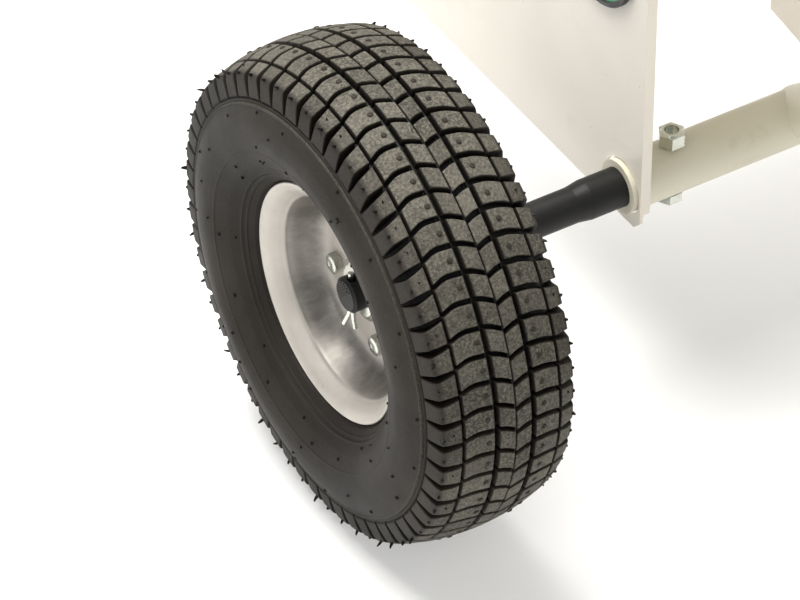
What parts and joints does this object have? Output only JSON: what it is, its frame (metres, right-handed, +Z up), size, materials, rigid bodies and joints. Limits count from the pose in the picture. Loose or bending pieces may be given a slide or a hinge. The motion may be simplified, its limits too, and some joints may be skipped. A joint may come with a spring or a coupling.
{
  "type": "walk-behind garden drop spreader",
  "caption": "Walk-behind drop spreader: lidded steel hopper on pneumatic turf wheels, geared agitator, lever-worked metering gate, tubular handle and rear stand.",
  "frame": {"origin": "on the ground, below the centre of the whole machine's box", "axes": "+X to the operator's right, +Y forward in the direction of travel, +Z up"},
  "size_m": [0.7976, 1.2572, 0.9148],
  "materials": {
    "cream_paint": "satin",
    "tube_paint": "satin",
    "zinc": "satin",
    "black_axle": "semi-gloss",
    "tyre_rubber": "matt, dusty",
    "soft_rubber": "matt",
    "plated_steel": "bright",
    "hub_steel": "satin",
    "gear_iron": "oiled",
    "bush_nylon": "matt",
    "black_plastic": "satin",
    "green_badge": "gloss",
    "dark_paint": "satin"
  },
  "bodies": {
    "frame": {"agitator_bushes": "bush_nylon", "axle_bolts": "plated_steel", "axle_tube_left": "tube_paint", "axle_tube_right": "tube_paint", "badges": "green_badge", "control_bracket": "dark_paint", "cotter_pins": "plated_steel", "cross_tube": "tube_paint", "crossbar": "tube_paint", "gate_rails": "dark_paint", "gear_guard": "black_plastic", "grip_left": "soft_rubber", "grip_right": "soft_rubber", "gusset_left": "cream_paint", "gusset_right": "cream_paint", "handle_tube_left": "tube_paint", "handle_tube_right": "tube_paint", "hopper_bottom": "cream_paint", "hopper_front_wall": "cream_paint", "hopper_rear_wall": "cream_paint", "hopper_rivets": "plated_steel", "hub_washers": "plated_steel", "lever_pivot_bolt": "plated_steel", "lid_hinge_rod": "plated_steel", "lid_knuckles": "zinc", "locking_collars": "black_axle", "lower_brace": "tube_paint", "side_plate_left": "cream_paint", "side_plate_right": "cream_paint", "stand_feet": "soft_rubber", "stand_foot_bar": "tube_paint", "stand_leg_left": "tube_paint", "stand_leg_right": "tube_paint", "stub_axle_left": "black_axle", "stub_axle_right": "black_axle", "upper_brace": "tube_paint"},
    "wheel_left": {"hub_bearings_left": "plated_steel", "hub_left": "hub_steel", "inner_tube_left": "soft_rubber", "rim_bolts_left": "plated_steel", "rim_inner_left": "zinc", "rim_outer_left": "zinc", "tyre_left": "tyre_rubber"},
    "wheel_right": {"hub_bearings_right": "plated_steel", "hub_right": "hub_steel", "inner_tube_right": "soft_rubber", "rim_bolts_right": "plated_steel", "rim_inner_right": "zinc", "rim_outer_right": "zinc", "tyre_right": "tyre_rubber", "drive_gear": "gear_iron"},
    "agitator": {"agitator_shaft": "zinc", "agitator_paddles": "zinc", "agitator_gear": "gear_iron"},
    "lid": {"hopper_lid": "cream_paint", "lid_handle": "black_plastic"},
    "gate": {"gate_slide": "zinc"},
    "lever": {"control_lever": "dark_paint", "lever_knob": "black_plastic"},
    "rod": {"control_rod": "zinc"}
  },
  "joints": [
    {"name": "wheel_left_spin", "type": "hinge", "parent": "frame", "child": "wheel_left", "pos_m": [-0.353, 0.38864, 0.133], "axis": [1, 0, 0], "continuous": true},
    {"name": "wheel_right_spin", "type": "hinge", "parent": "frame", "child": "wheel_right", "pos_m": [0.353, 0.38864, 0.133], "axis": [1, 0, 0], "continuous": true},
    {"name": "agitator_spin", "type": "hinge", "parent": "frame", "child": "agitator", "pos_m": [0, 0.48264, 0.2424], "axis": [1, 0, 0], "continuous": true},
    {"name": "lid_hinge", "type": "hinge", "parent": "frame", "child": "lid", "pos_m": [0, 0.62264, 0.468], "axis": [-1, 0, 0], "range_deg": [0, 105]},
    {"name": "lever_pivot", "type": "hinge", "parent": "frame", "child": "lever", "pos_m": [0, -0.37477, 0.78249], "axis": [1, 0, 0], "range_deg": [0, 31.6]},
    {"name": "gate_travel", "type": "slide", "parent": "frame", "child": "gate", "axis": [0, -1, 0], "range_m": [0, 0.024]},
    {"name": "rod_tilt", "type": "hinge", "parent": "gate", "child": "rod", "pos_m": [0, 0.44864, 0.211], "axis": [-1, 0, 0], "range_deg": [0, 0.9]}
  ],
  "couplings": [
    {"joint": "agitator_spin", "follows": "wheel_right_spin", "ratio": -2},
    {"joint": "gate_travel", "follows": "lever_pivot", "m_per_rad": 0.04297},
    {"joint": "rod_tilt", "follows": "lever_pivot", "ratio": 0.0258}
  ]
}
